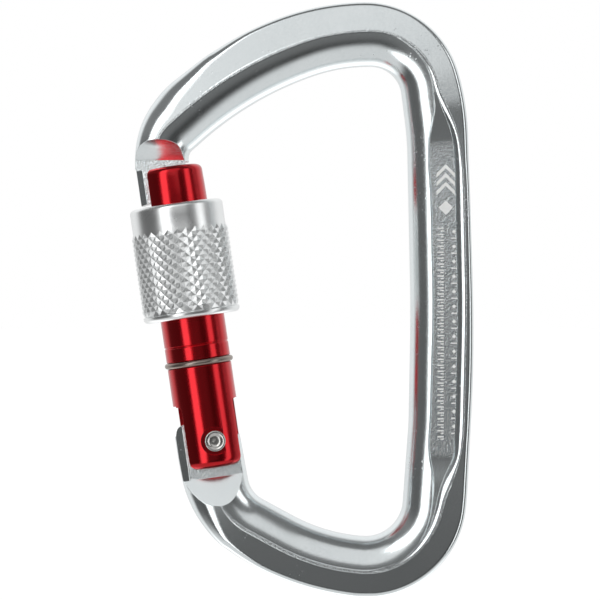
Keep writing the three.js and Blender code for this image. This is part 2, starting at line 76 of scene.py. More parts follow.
# %% Places taken from the frame, in millimetres
MM = 1000
body_low, body_high = (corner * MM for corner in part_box("carabiner_body"))
sleeve_low, sleeve_high = (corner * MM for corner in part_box("screw_sleeve"))
joints = {joint["name"]: joint for joint in frame["joints"]}
pivot = Vector(joints["gate_pivot"]["pos_m"]) * MM
gate_axis = Vector(joints["sleeve_turn"]["axis"])
gate_tilt = math.atan2(gate_axis.x, gate_axis.z)
axis_point = Vector(joints["sleeve_turn"]["pos_m"]) * MM - pivot
axis_x = axis_point.x * math.cos(gate_tilt) - axis_point.z * math.sin(gate_tilt)
half_depth = body_high.y
print(f"rivet at {tuple(round(v, 2) for v in pivot)}, gate leans {math.degrees(gate_tilt):.2f} degrees")
print(f"the gate's axis is {axis_x:.2f} mm from the rivet")

# %% [markdown]
# Every piece is modelled in millimetres and shrunk to metres when it is finished, so that the numbers read
# as on a drawing. The helpers below only choose things and call the same tools that a hand would.

# %% Helpers to select and finish
def clear():
    """Object mode, with nothing selected."""
    if bpy.context.object and bpy.context.object.mode != "OBJECT":
        bpy.ops.object.mode_set(mode="OBJECT")
    bpy.ops.object.select_all(action="DESELECT")


def take(piece):
    """Makes one piece the selected and active one."""
    clear()
    piece.select_set(True)
    bpy.context.view_layer.objects.active = piece
    return piece


def edit(piece, kind="VERT"):
    """Edit mode on a piece, with nothing selected."""
    take(piece)
    bpy.ops.object.mode_set(mode="EDIT")
    bpy.ops.mesh.select_mode(type=kind)
    bpy.ops.mesh.select_all(action="DESELECT")


def choose(piece, kind, rule):
    """Selects the verts, edges or faces of the edited piece that a rule accepts, and counts them."""
    mesh = bmesh.from_edit_mesh(piece.data)
    chosen = 0
    for item in getattr(mesh, kind):
        if rule(item):
            item.select_set(True)
            chosen += 1
    mesh.select_flush_mode()
    bmesh.update_edit_mesh(piece.data)
    return chosen


def modify(piece, kind, **settings):
    """Adds a modifier and applies it."""
    take(piece)
    bpy.ops.object.modifier_add(type=kind)
    modifier = piece.modifiers[-1]
    for name, value in settings.items():
        setattr(modifier, name, value)
    bpy.ops.object.modifier_apply(modifier=modifier.name)


def cut(piece, tool, operation="DIFFERENCE"):
    """Cuts a piece with a tool and throws the tool away."""
    modify(piece, "BOOLEAN", object=tool, operation=operation, solver="EXACT")
    bpy.data.objects.remove(tool)
    return piece


def place(piece, location=(0, 0, 0), rotation=(0, 0, 0)):
    """Moves and turns a piece, and puts its place into its mesh."""
    take(piece)
    piece.rotation_euler = rotation
    piece.location = location
    bpy.ops.object.transform_apply(location=True, rotation=True, scale=True)
    return piece


def onto_gate(piece):
    """From the gate's own frame, with the rivet at its origin, into the row frame."""
    return place(piece, pivot, (0, gate_tilt, 0))


pieces = []


def finish_piece(piece, body, stands_for, slot, angle=28):
    """Metres, outward normals, smooth shading up to an angle, and the body that it rides on."""
    edit(piece)
    bpy.ops.mesh.select_all(action="SELECT")
    bpy.ops.mesh.remove_doubles(threshold=0.0005)
    bpy.ops.mesh.normals_make_consistent(inside=False)
    take(piece)
    piece.scale = [1 / MM] * 3
    bpy.ops.object.transform_apply(location=False, rotation=False, scale=True)
    bpy.ops.object.shade_smooth_by_angle(angle=math.radians(angle))
    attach(piece, body)
    if stands_for:
        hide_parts(stands_for)
    if slot:
        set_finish(piece, slot)
    pieces.append(piece)
    print(f"{piece.name}: {len(piece.data.polygons)} faces, rides on {body}")


# %% Helpers for basic shapes
def block(name, low, high):
    """A box between two corners, as a cutting tool."""
    clear()
    middle = [(a + b) / 2 for a, b in zip(low, high)]
    bpy.ops.mesh.primitive_cube_add(size=1, location=middle)
    piece = bpy.context.object
    piece.name = name
    piece.scale = [b - a for a, b in zip(low, high)]
    bpy.ops.object.transform_apply(location=True, rotation=False, scale=True)
    return piece


def turned(name, profile, sides=96, closed=False, x=0):
    """A turned shape on a line parallel to z: one ring, extruded and resized along a (radius, height) profile."""
    clear()
    radius, height = profile[0]
    bpy.ops.mesh.primitive_circle_add(vertices=sides, radius=radius, location=(x, 0, height))
    piece = bpy.context.object
    piece.name = name
    bpy.ops.object.transform_apply(location=True, rotation=False, scale=False)
    bpy.ops.object.mode_set(mode="EDIT")
    bpy.ops.mesh.select_all(action="SELECT")
    for (was, low), (now, high) in zip(profile, profile[1:]):
        bpy.ops.mesh.extrude_edges_move(TRANSFORM_OT_translate={"value": (0, 0, high - low)})
        bpy.ops.transform.resize(value=(now / was, now / was, 1), center_override=(x, 0, high))
    bpy.ops.mesh.select_all(action="SELECT")
    bpy.ops.mesh.remove_doubles(threshold=0.0005)
    if not closed:
        bpy.ops.mesh.fill_holes(sides=0)
        bpy.ops.mesh.select_all(action="SELECT")
    bpy.ops.mesh.normals_make_consistent(inside=False)
    bpy.ops.object.mode_set(mode="OBJECT")
    return piece


def arc(radius, height, size, start, end, steps=6):
    """Profile points on an arc about (radius, height), from one angle to another in degrees."""
    angles = [math.radians(start + (end - start) * i / steps) for i in range(steps + 1)]
    return [(radius + size * math.cos(a), height + size * math.sin(a)) for a in angles]


def sheet_of(name, points, thickness):
    """A flat plate in the XZ plane, drawn by its corners and as thick as asked, centred on y = 0."""
    clear()
    bpy.ops.mesh.primitive_circle_add(vertices=len(points), radius=1, fill_type="NGON")
    piece = bpy.context.object
    piece.name = name
    for vertex, (x, z) in zip(piece.data.vertices, points):
        vertex.co = (x, -thickness / 2, z)
    bpy.ops.object.mode_set(mode="EDIT")
    bpy.ops.mesh.select_all(action="SELECT")
    bpy.ops.mesh.extrude_region_move(TRANSFORM_OT_translate={"value": (0, thickness, 0)})
    bpy.ops.mesh.select_all(action="SELECT")
    bpy.ops.mesh.normals_make_consistent(inside=False)
    bpy.ops.object.mode_set(mode="OBJECT")
    return piece


# %% [markdown]
# The body is forged from round bar: bent into a D, then pressed between dies. Its inside edge stays round,
# for the rope. The dies leave a flat land outside, and sink an I-beam web into each side of the spine. The
# section therefore changes all the way round. Bevelled plates can't do that, so the body starts as a torus
# primitive, whose rings are laid one by one as sections of the bar, between the two outlines.

# %% The two outlines of the body
LEFT, RIGHT = -43.2, 22.4
TOP, BOTTOM = 12.15, -102.85
CROWN_BAR, SPINE_BAR, FOOT_BAR = 12.15, 12.0, 11.8

OUTER_CORNERS = [
    (LEFT + 0.1, TOP - 20.5, 19), (LEFT + 19.2, TOP - 6.3, 64), (RIGHT - 30.3, TOP - 0.3, 50),
    (RIGHT - 7, TOP + 0.6, 18.8), (RIGHT - 1.2, TOP - 19.6, 49), (RIGHT + 0.3, -55.35, 310),
    (RIGHT - 1.2, BOTTOM + 19.6, 60), (RIGHT - 3.2, BOTTOM - 2.3, 19.4), (RIGHT - 35.3, BOTTOM + 1.3, 55),
    (LEFT + 10.7, BOTTOM + 13.4, 22.4), (LEFT + 8.3, BOTTOM + 26.3, 30), (LEFT, TOP - 32.5, 8),
]
crown, spine, foot = TOP - CROWN_BAR, RIGHT - SPINE_BAR, BOTTOM + FOOT_BAR
INNER_CORNERS = [
    (LEFT + 10.1, TOP - 29.2, 2.2), (LEFT + 22.6, crown - 5.95, 64), (spine - 13.6, crown + 0.1, 33),
    (spine - 2.5, crown + 0.05, 6), (spine - 0.7, crown - 13.95, 62), (spine, -47.35, 300),
    (spine - 0.4, foot + 21.7, 60), (spine - 2.1, foot - 1.1, 7.3), (spine - 16.8, foot + 0.2, 34),
    (LEFT + 22.4, foot + 8, 5.5),
]


def outline(corners, turn=3.0, stride=1.1):
    """Points round a closed outline whose corners are arcs, at most a turn and a stride apart."""
    marks = []
    for i, (x, z, radius) in enumerate(corners):
        here = np.array([x, z])
        back = np.array(corners[i - 1][:2]) - here
        ahead = np.array(corners[(i + 1) % len(corners)][:2]) - here
        back, ahead = back / np.linalg.norm(back), ahead / np.linalg.norm(ahead)
        half = math.acos(back @ ahead) / 2
        centre = here + (back + ahead) / np.linalg.norm(back + ahead) * radius / math.sin(half)
        first = here + back * radius / math.tan(half) - centre
        last = here + ahead * radius / math.tan(half) - centre
        sweep = math.pi - 2 * half
        steps = max(2, math.ceil(max(math.degrees(sweep) / turn, sweep * radius / stride)))
        sign = math.copysign(1, first[0] * last[1] - first[1] * last[0])
        start = math.atan2(first[1], first[0])
        for k in range(steps + 1):
            angle = start + sign * sweep * k / steps
            marks.append(centre + radius * np.array([math.cos(angle), math.sin(angle)]))
    points = []
    for a, b in zip(marks, marks[1:] + marks[:1]):
        pieces_between = max(1, math.ceil(np.linalg.norm(b - a) / stride))
        points += [a + (b - a) * k / pieces_between for k in range(pieces_between)]
    return np.array([p for i, p in enumerate(points) if np.linalg.norm(p - points[i - 1]) > 0.05])


inside = outline(INNER_CORNERS)
outside = outline(OUTER_CORNERS)
outside = np.clip(outside, (body_low.x, body_low.z), (body_high.x, body_high.z))
print(f"outlines: {len(inside)} points inside, {len(outside)} outside")

# %% Pair each inside point with the outside, straight across the bar
def across_bar(points, wall):
    """For each point: the direction out across the bar, and the bar's width there."""
    ahead = np.roll(points, -1, 0) - points
    behind = points - np.roll(points, 1, 0)
    ahead /= np.linalg.norm(ahead, axis=1)[:, None]
    behind /= np.linalg.norm(behind, axis=1)[:, None]
    along = ahead + behind
    along /= np.linalg.norm(along, axis=1)[:, None]
    out = np.stack([-along[:, 1], along[:, 0]], 1)
    start, side = wall, np.roll(wall, -1, 0) - wall
    widths = []
    for p, d in zip(points, out):
        gap = start - p
        bottom = d[0] * side[:, 1] - d[1] * side[:, 0]
        reach = (gap[:, 0] * side[:, 1] - gap[:, 1] * side[:, 0]) / bottom
        share = (gap[:, 0] * d[1] - gap[:, 1] * d[0]) / bottom
        widths.append(reach[(share >= 0) & (share <= 1) & (reach > 0)].min())
    return out, np.array(widths)


out, width = across_bar(inside, outside)
middle = inside + out * width[:, None] / 2
print(f"the bar is {width.min():.1f} to {width.max():.1f} mm wide")

# %% How the section changes along the bar
ROUND = 6.6  # from the opening's edge to the land
WAIST = 0.4  # half the straight band in the opening's edge

# height, web's left and right, the land's start, web depth, how far the rim drops
SPINE_TABLE = np.array([
    (6, 5.9, 6.2, 6.5, 0, 0), (1, 5.9, 6.2, 6.6, 0.05, 0), (-4.8, 5.8, 6.3, 6.9, 0.15, 0),
    (-8.5, 5.5, 7.1, 8.3, 0.45, 0.1), (-11.5, 4.6, 8.0, 9.2, 0.9, 0.35), (-14.2, 3.8, 8.7, 9.8, 1.3, 0.5),
    (-19.6, 3.7, 8.9, 10.5, 1.5, 0.6), (-26, 4.0, 8.9, 10.7, 1.5, 0.6), (-45, 4.0, 8.9, 10.7, 1.5, 0.6),
    (-68, 3.8, 8.8, 10.6, 1.5, 0.6), (-72.4, 3.7, 8.8, 10.6, 1.5, 0.6), (-75.7, 4.0, 9.0, 10.2, 1.45, 0.55),
    (-79, 5.0, 7.6, 9.45, 1.1, 0.4), (-81.1, 5.2, 6.9, 9.0, 0.8, 0.2), (-84, 5.3, 6.35, 7.6, 0.6, 0.05),
    (-87, 5.2, 6.0, 7.3, 0.45, 0), (-90.1, 5.4, 6.0, 6.9, 0.3, 0), (-94, 5.8, 6.2, 6.6, 0.1, 0),
    (-98, 5.9, 6.2, 6.5, 0, 0),
])[::-1]
# height and how far the outside edge is rounded, on the arm over the nose and at the heel
NOSE_TABLE = np.array([(1, 1.1), (-3, 2.0), (-7, 3.8), (-11, 5.2)])[::-1]
HEEL_TABLE = np.array([(-92, 1.1), (-89, 1.8), (-86, 3.8), (-83, 5.0)])


def read(table, height, column):
    return np.interp(height, table[:, 0], table[:, column])


def smooth(values, rounds=2):
    """Averages each value with its neighbours round the ring."""
    for _ in range(rounds):
        values = (np.roll(values, 1, 0) + 2 * values + np.roll(values, -1, 0)) / 4
    return values


on_spine = middle[:, 0] > 2
level = np.where(on_spine, middle[:, 1], 6.0)
web_left, web_right, land, depth, drop = (smooth(read(SPINE_TABLE, level, c)) for c in range(1, 6))
near_nose = (middle[:, 0] < -20) & (middle[:, 1] > -45)
near_heel = (middle[:, 0] < -5) & (middle[:, 1] < -45)
edge = np.full(len(inside), 1.1)
edge[near_nose] = read(NOSE_TABLE, middle[near_nose, 1], 1)
edge[near_heel] = read(HEEL_TABLE, middle[near_heel, 1], 1)
edge = smooth(np.minimum(edge, width - land - 0.3))

# %% Draw each section
LAND_TILT = 0.10  # how much the land falls towards the outside


def section(i):
    """(distance from the opening, height off the middle plane) down one half of section i."""
    rim = half_depth - drop[i]
    floor = half_depth - depth[i]

    def bar(u):
        lean = np.arcsin(np.clip(1 - u / ROUND, 0, 1))
        return WAIST + (half_depth - WAIST) * np.cos(lean)

    half = [(0, 0), (0, WAIST)]
    for lean in np.linspace(88, 0, 24)[1:]:
        u = ROUND * (1 - math.sin(math.radians(lean)))
        if u < web_left[i] - 0.05:
            half.append((u, bar(u)))
    while len(half) < 25:
        a, b = half[-1], (web_left[i], bar(web_left[i]))
        half.append(((a[0] + b[0]) / 2, bar((a[0] + b[0]) / 2)))
    half = half[:25]
    half.append((web_left[i], bar(web_left[i])))
    wall = min(0.45, (web_right[i] - web_left[i]) * 0.3)
    for share, sink in ((0.35, 0.4), (0.7, 0.85), (1, 1)):
        u = web_left[i] + wall * share
        half.append((u, bar(u) + (min(bar(u), floor) - bar(u)) * sink))
    for share in (0.15, 0.35, 0.55, 0.75, 0.92, 1):
        u = web_left[i] + wall + (web_right[i] - web_left[i] - wall) * share
        half.append((u, min(bar(u), floor)))
    low = half[-1][1]
    for share in (0.08, 0.2, 0.4, 0.6, 0.75, 0.88, 1):
        u = web_right[i] + (land[i] - web_right[i]) * share
        ease = 1 - (1 - share) ** 2
        half.append((u, low + (min(bar(u), rim) - low) * ease))
    high = half[-1][1]
    land_end = width[i] - edge[i]
    for share in (0.08, 0.3, 0.5, 0.7, 0.92, 1):
        u = land[i] + max(0.02, land_end - land[i]) * share
        half.append((u, high - (u - land[i]) * LAND_TILT))
    last = half[-1]
    round_depth = min(last[1] - WAIST, 1.5 * edge[i] if edge[i] < 2 else edge[i])
    for lean in (10, 22, 34, 46, 58, 70, 80, 90):
        a = math.radians(lean)
        u = last[0] + (width[i] - last[0]) * math.sin(a)
        half.append((u, last[1] - round_depth * (1 - math.cos(a))))
    return half


sections = [section(i) for i in range(len(inside))]
ring_points = 2 * len(sections[0]) - 1
print(f"{len(sections)} sections of {ring_points} points")

# %% Lay the sections round a torus primitive
clear()
bpy.ops.mesh.primitive_torus_add(major_segments=len(sections), minor_segments=ring_points)
body = bpy.context.object
body.name = "forged_body"
co = np.zeros((len(sections), ring_points, 3))
for i, half in enumerate(sections):
    both = half + [(u, -y) for u, y in half[:0:-1]]
    for k, (u, y) in enumerate(both):
        co[i, k] = (inside[i, 0] + out[i, 0] * u, -y, inside[i, 1] + out[i, 1] * u)
body.data.vertices.foreach_set("co", co.ravel())
body.data.update()
edit(body)
bpy.ops.mesh.select_all(action="SELECT")
bpy.ops.mesh.remove_doubles(threshold=0.0005)
bpy.ops.mesh.normals_make_consistent(inside=False)
clear()
print(f"forged ring: {len(body.data.polygons)} faces")

# %% [markdown]
# The gap, the two tongues and the rivet hole are milled after forging, so they are cut here with tools of
# the same shapes. Each tool is drawn in the gate's frame and then turned with the gate.

# %% Mill the gap for the gate
GATE_TOP = 53.70
NOSE_FACE = GATE_TOP + 0.55
TONGUE_HALF = 2.65
SLEEVE_TOP = 46.35
tongue_left = axis_x - 6.5
nose_inner = axis_x + 2.95
cam_x, cam_z, cam_radius = 1.0, -1.5, 7.3
tip = SLEEVE_TOP + 0.25


def fan(cx, cz, radius, start, end, steps=16):
    """Points on an arc in the XZ plane, angles in degrees from +x."""
    angles = [math.radians(start + (end - start) * i / steps) for i in range(steps + 1)]
    return [(cx + radius * math.cos(a), cz + radius * math.sin(a)) for a in angles]


tip_radius = math.hypot(tip - 0.25, axis_x - 9.1 + 0.8) + 0.25
lip_right = tongue_left + 4.6
cam_right = axis_x + 4.45 + 0.9
cam_end = math.degrees(math.asin((cam_right - cam_x) / cam_radius))
gap = (
    [(-40, 1.6), (tongue_left + 0.05, 1.6), (tongue_left + 0.23, 2.3), (tongue_left + 0.45, 2.9)]
    + [(tongue_left + 0.75, 3.3), (tongue_left + 1.2, 3.55)]
    + fan(cam_x, cam_z, cam_radius, 126, 90 - cam_end, 20)
    + [(cam_right, 0.4), (30, 0.4), (30, NOSE_FACE), (nose_inner, NOSE_FACE)]
    + [(nose_inner, tip + 4.2), (nose_inner - 0.3, tip + 3.5), (nose_inner - 1, tip + 3.2), (lip_right, tip + 3.2)]
    + fan(0, 0, tip_radius, math.degrees(math.acos(lip_right / tip_radius)),
          math.degrees(math.acos(tongue_left / tip_radius)), 8)
    + [(tongue_left, NOSE_FACE), (-40, NOSE_FACE)]
)
cut(body, onto_gate(sheet_of("gap", gap, 60)))
print(f"gap cut: {len(body.data.polygons)} faces")

# %% Mill the tongues and drill the rivet hole
FACET_START = -18.35
RAMP_START, RAMP_LENGTH = 7.1, 5.5
CHAMFER_LEAN = math.radians(25)


def beside_tongue(name, points, x):
    """A milling tool drawn in (y, z) and running across the bar in x."""
    tool = sheet_of(name, points, 26)
    return place(tool, (x, 0, 0), (0, 0, math.pi / 2))


for side in (1, -1):
    face = side * TONGUE_HALF
    far = side * 12
    run = 12 - TONGUE_HALF
    rise = half_depth - TONGUE_HALF
    nose_tool = [(face, -60), (face, FACET_START)]
    for lean, stretch in [(67 - 3 * k, 0.5) for k in range(10)] + [(38, 9)]:
        y, z = nose_tool[-1]
        a = math.radians(lean)
        nose_tool.append((y + side * stretch * math.cos(a), z + stretch * math.sin(a)))
    nose_tool.append((side * 14, -60))
    hinge_tool = [(face, 30), (far, 30), (far, -RAMP_START - RAMP_LENGTH * run / rise), (face, -RAMP_START)]
    cut(body, beside_tongue("nose_mill", nose_tool, -33))
    cut(body, onto_gate(beside_tongue("hinge_mill", hinge_tool, axis_x)))
    for edge_x, low, high in ((axis_x - 5.3, 30, 53.8), (axis_x - 4.95, -RAMP_START, 30)):
        corner = block("edge_mill", (-4, min(0, side * 4), low), (0, max(0, side * 4), high))
        place(corner, (edge_x, face, 0), (0, 0, side * CHAMFER_LEAN))
        cut(body, onto_gate(corner))
hole = turned("drill", [(1.78, -20), (1.78, 20)], 48)
place(hole, (0, 0, 0), (math.pi / 2, 0, 0))
cut(body, onto_gate(hole))
finish_piece(body, "frame", "carabiner_body", "polished_aluminium", angle=17)

# %% [markdown]
# The gate is turned from bar, bored, slotted at both ends for the tongues, and threaded where the sleeve
# runs. A ring extruded along the turned profile gives the tube, and boxes cut the slots.

# %% Turn the gate
GATE_RADIUS = 6.25
GATE_BOTTOM = -5.2
RING_HEIGHT, RING_WIRE, RING_RADIUS = 15.35, 1.1, 6.15
groove = RING_RADIUS - RING_WIRE / 2 - 0.06
profile = [(0.5, GATE_BOTTOM)]
profile += arc(GATE_RADIUS - 1.7, GATE_BOTTOM + 1.7, 1.7, -90, 0, 8)
profile += [(GATE_RADIUS, RING_HEIGHT - 0.75), (GATE_RADIUS - 0.1, RING_HEIGHT - 0.62), (groove, RING_HEIGHT - 0.6)]
profile += [(groove, RING_HEIGHT + 0.6), (GATE_RADIUS - 0.1, RING_HEIGHT + 0.62), (GATE_RADIUS, RING_HEIGHT + 0.75)]
profile += [(GATE_RADIUS, 18.6), (GATE_RADIUS - 0.14, 18.75), (GATE_RADIUS - 0.14, 18.85), (GATE_RADIUS, 19.0)]
profile += [(GATE_RADIUS, 40.0), (GATE_RADIUS, 47.0), (GATE_RADIUS - 0.03, 49.5), (GATE_RADIUS - 0.1, 51.5)]
profile += arc(GATE_RADIUS - 0.12 - 1.2, GATE_TOP - 1.2, 1.2, 0, 90, 7)
profile += [(0.5, GATE_TOP)]
gate = turned("gate_tube", profile, 128, x=axis_x)

# %% Thread the gate
def helix(name, outer, inner, wide, narrow, start, turns, sides=64):
    """A trapezoid swept up a screw line, as a cutter or a ridge."""
    clear()
    bpy.ops.mesh.primitive_plane_add(size=1)
    tool = bpy.context.object
    tool.name = name
    corners = [(outer, -wide / 2), (outer, wide / 2), (inner, -narrow / 2), (inner, narrow / 2)]
    for vertex, (r, h) in zip(tool.data.vertices, corners):
        vertex.co = (r, 0, h)
    modify(tool, "SCREW", axis="Z", angle=math.tau * turns, screw_offset=2.5 * turns,
           steps=round(sides * turns), render_steps=round(sides * turns), use_merge_vertices=False)
    edit(tool)
    bpy.ops.mesh.select_non_manifold()
    bpy.ops.mesh.fill_holes(sides=0)
    bpy.ops.mesh.select_all(action="SELECT")
    bpy.ops.mesh.normals_make_consistent(inside=False)
    clear()
    place(tool, (axis_x, 0, 25 + start * 2.5), (0, 0, math.tau * start))
    return tool


cut(gate, helix("thread_cutter", GATE_RADIUS + 0.3, GATE_RADIUS - 0.6, 1.75, 1.1, 0.01, 8.25))
print(f"threaded gate: {len(gate.data.polygons)} faces")

# %% Slot, bore and spot-face the gate
SLOT_HALF = TONGUE_HALF + 0.25
CHEEK = 4.45
FAR = 30
cheek_left = axis_x - CHEEK
cut(gate, block("hinge_slot", (-FAR, -SLOT_HALF, -FAR), (FAR, SLOT_HALF, 7.5)))
hinge_cheek = [(-FAR, 7.25), (-FAR, -FAR), (cheek_left + 1.7, -FAR)]
hinge_cheek += fan(cheek_left + 1.7, GATE_BOTTOM + 1.7, 1.7, 270, 180, 10)
hinge_cheek += fan(cheek_left - 0.8, 6.45, 0.8, 0, 90, 8)
front_only = place(sheet_of("hinge_cheek", hinge_cheek, 20), (0, -10, 0))
cut(gate, front_only)
cut(gate, block("nose_slot", (-FAR, -SLOT_HALF, SLEEVE_TOP - 0.25), (axis_x + 3.2, SLOT_HALF, FAR + 60)))
nose_cheek = [(-FAR, FAR + 60), (-FAR, SLEEVE_TOP - 0.25), (cheek_left, SLEEVE_TOP - 0.25)]
nose_cheek += fan(cheek_left + 1.2, GATE_TOP - 1.2, 1.2, 180, 90, 10) + [(cheek_left + 1.2, FAR + 60)]
cut(gate, sheet_of("nose_cheek", nose_cheek, 40))
cut(gate, block("spine_flat", (axis_x + 5.85, -FAR, -FAR), (FAR, FAR, 7.6)))
cut(gate, turned("bore", [(2.25, 0), (2.25, 24), (0.3, 25.1)], 48, x=-0.15))
for side in (1, -1):
    spot = turned("spot_face", [(2.7, 0), (2.7, 6)], 64)
    place(spot, (0, side * 5.55, 0), (-side * math.pi / 2, 0, 0))
    cut(gate, spot)
cross = turned("cross_hole", [(1.78, -20), (1.78, 20)], 48)
cut(gate, place(cross, (0, 0, 0), (math.pi / 2, 0, 0)))
finish_piece(onto_gate(gate), "gate", "gate", "red_anodised", angle=30)

# %% [markdown]
# The rivet is a steel pin whose ends are formed over with a punch: a low head with a bright rolled rim and
# a rough dimple. Its profile is extruded from one ring, then turned to lie across the gate.

# %% Form the rivet
half_rivet = [(1.5, 0), (1.5, 5.69), (2.0, 5.69)]
half_rivet += arc(1.76, 6.0, 0.29, -30, 100, 8)
half_rivet += [(1.38, 6.2), (1.2, 6.02), (0.9, 5.9), (0.45, 5.87), (0.2, 5.93)]
mirrored = [(r, -h) for r, h in half_rivet[:0:-1]]
rivet = turned("rivet_pin", mirrored + half_rivet[1:], 64)
place(rivet, (0, 0, 0), (math.pi / 2, 0, 0))
finish_piece(onto_gate(rivet), "gate", "gate_rivet", "rivet_steel", angle=40)

# %% [markdown]
# The sleeve stops against a sprung wire ring, open at the back. A torus gives the wire; the vertices in the
# gap are deleted and the two ends closed and rounded off.

# %% Bend the stop ring
clear()
bpy.ops.mesh.primitive_torus_add(
    major_radius=RING_RADIUS, minor_radius=RING_WIRE / 2, major_segments=112, minor_segments=20
)
ring = bpy.context.object
ring.name = "stop_ring_wire"
edit(ring)
choose(ring, "verts", lambda v: abs(math.degrees(math.atan2(v.co.x, v.co.y))) < 8)
bpy.ops.mesh.delete(type="VERT")
bpy.ops.mesh.select_non_manifold()
bpy.ops.mesh.fill_holes(sides=0)
bpy.ops.mesh.select_mode(type="FACE")
bpy.ops.mesh.select_all(action="DESELECT")
choose(ring, "faces", lambda f: len(f.verts) > 4)
bpy.ops.mesh.inset(thickness=0.12, depth=0.1)
place(ring, (axis_x, 0, RING_HEIGHT))
finish_piece(onto_gate(ring), "ring", "sleeve_stop_ring", "spring_steel", angle=40)

# %% [markdown]
# The sleeve is turned with a smooth collar and foot, and knurled between them by two wheels that press
# crossing grooves. Peaks and valleys alternate like a chessboard, so the knurled band is a grid of rings in
# which every second point is pulled out to the full radius. Each peak is then cut to a tiny flat.

# %% Turn the sleeve
SLEEVE_BOTTOM = 24.15
KNURL_RADIUS, COLLAR_RADIUS, VALLEY_RADIUS = 9.5, 9.09, 9.12
FOOT_RADIUS, FOOT_ROUND = 9.43, 0.9
COLLAR_HEIGHT, FOOT_BAND = 4.9, 1.3
KNURL_SIDES, KNURL_ROWS = 64, 17
BORE, MOUTH, MOUTH_DEPTH = 6.45, 7.3, 6.9
knurl_low = SLEEVE_BOTTOM + FOOT_BAND
knurl_high = SLEEVE_TOP - COLLAR_HEIGHT
row_height = (knurl_high - knurl_low) / KNURL_ROWS
profile = [(BORE, SLEEVE_BOTTOM)]
profile += arc(FOOT_RADIUS - FOOT_ROUND, SLEEVE_BOTTOM + FOOT_ROUND, FOOT_ROUND, -90, 0, 8)
profile += [(FOOT_RADIUS, knurl_low - 0.2)]
profile += [(VALLEY_RADIUS, knurl_low + row_height * row) for row in range(KNURL_ROWS + 1)]
profile += [(COLLAR_RADIUS, knurl_high + 0.3), (COLLAR_RADIUS, SLEEVE_TOP - 2.4)]
profile += arc(COLLAR_RADIUS - 0.8, SLEEVE_TOP - 0.8, 0.8, 0, 90, 7)
profile += [(MOUTH + 0.35, SLEEVE_TOP), (MOUTH, SLEEVE_TOP - 0.35), (MOUTH, SLEEVE_TOP - MOUTH_DEPTH)]
profile += [(BORE, SLEEVE_TOP - MOUTH_DEPTH), (BORE, SLEEVE_BOTTOM)]
sleeve = turned("knurled_sleeve", profile, KNURL_SIDES, closed=True)

# %% Raise the knurl
def is_peak(v):
    """True for every second point of the knurled band."""
    if abs(math.hypot(v.co.x, v.co.y) - VALLEY_RADIUS) > 0.02:
        return False
    row = round((v.co.z - knurl_low) / row_height)
    column = round(math.atan2(v.co.y, v.co.x) / math.tau * KNURL_SIDES)
    return (row + column) % 2 == 0 and 0 < row < KNURL_ROWS


edit(sleeve)
peaks = choose(sleeve, "verts", is_peak)
bpy.ops.transform.resize(value=(KNURL_RADIUS / VALLEY_RADIUS, KNURL_RADIUS / VALLEY_RADIUS, 1), center_override=(0, 0, 0))
bpy.ops.mesh.select_mode(type="FACE")
bpy.ops.mesh.select_all(action="DESELECT")
choose(sleeve, "faces", lambda f: knurl_low - 0.1 < f.calc_center_median().z < knurl_high + 0.1
       and math.hypot(*f.calc_center_median().xy) > 8.5)
bpy.ops.mesh.quads_convert_to_tris(quad_method="SHORTEST_DIAGONAL", ngon_method="BEAUTY")
bpy.ops.mesh.select_mode(type="VERT")
bpy.ops.mesh.select_all(action="DESELECT")
choose(sleeve, "verts", lambda v: math.hypot(v.co.x, v.co.y) > KNURL_RADIUS - 0.02)
bpy.ops.mesh.bevel(affect="VERTICES", offset=0.14, segments=1)
print(f"knurl of {peaks} points, {row_height * 2:.2f} mm apart")
place(sleeve, (axis_x, 0, 0))
finish_piece(onto_gate(sleeve), "sleeve", "screw_sleeve", "knurled_aluminium", angle=20)

# %% [markdown]
# Working marks are etched in the web of the spine. Here they are a plain scale of ticks, a row of lozenges
# and three chevrons, with no lettering: thin plates repeated along the web by an array.

# %% Etch the marks
WEB_FLOOR = -half_depth + 1.5
marks = []


def mark(points, count, pitch):
    """One thin plate, repeated down the web."""
    plate = sheet_of("mark", points, 0.02)
    place(plate, (0, WEB_FLOOR - 0.012, 0))
    if count > 1:
        modify(plate, "ARRAY", count=count, use_relative_offset=False, use_constant_offset=True,
               constant_offset_displace=(0, 0, -pitch))
    marks.append(plate)


def tick(x, z, wide, tall):
    return [(x - wide / 2, z), (x, z), (x + wide / 2, z), (x + wide / 2, z - tall), (x, z - tall), (x - wide / 2, z - tall)]


def lozenge(x, z, size):
    return [(x - size, z), (x, z + size), (x + size, z), (x, z - size)]


mark(tick(16.0, -31.5, 1.2, 0.25), 36, 1.15)
mark(tick(16.3, -32.0, 0.6, 0.2), 36, 1.15)
mark(lozenge(18.6, -32.2, 0.42), 14, 2.9)
mark(tick(18.6, -33.4, 1.1, 0.22), 14, 2.9)
mark([(15.2, -21), (17.0, -19.2), (18.8, -21), (18.8, -21.8), (17.0, -20.0), (15.2, -21.8)], 3, 1.7)
mark(lozenge(17.0, -27.6, 1.4), 1, 0)
clear()
for plate in marks:
    plate.select_set(True)
bpy.context.view_layer.objects.active = marks[0]
bpy.ops.object.join()
marks[0].name = "etched_marks"
finish_piece(marks[0], "frame", None, None)

# %% [markdown]
# Floor, backdrop, camera and lights. The connector stands on its foot on a pale floor in a pale dome that
# only the camera sees. A large soft panel above the camera and a tall strip at each side make the reflections.

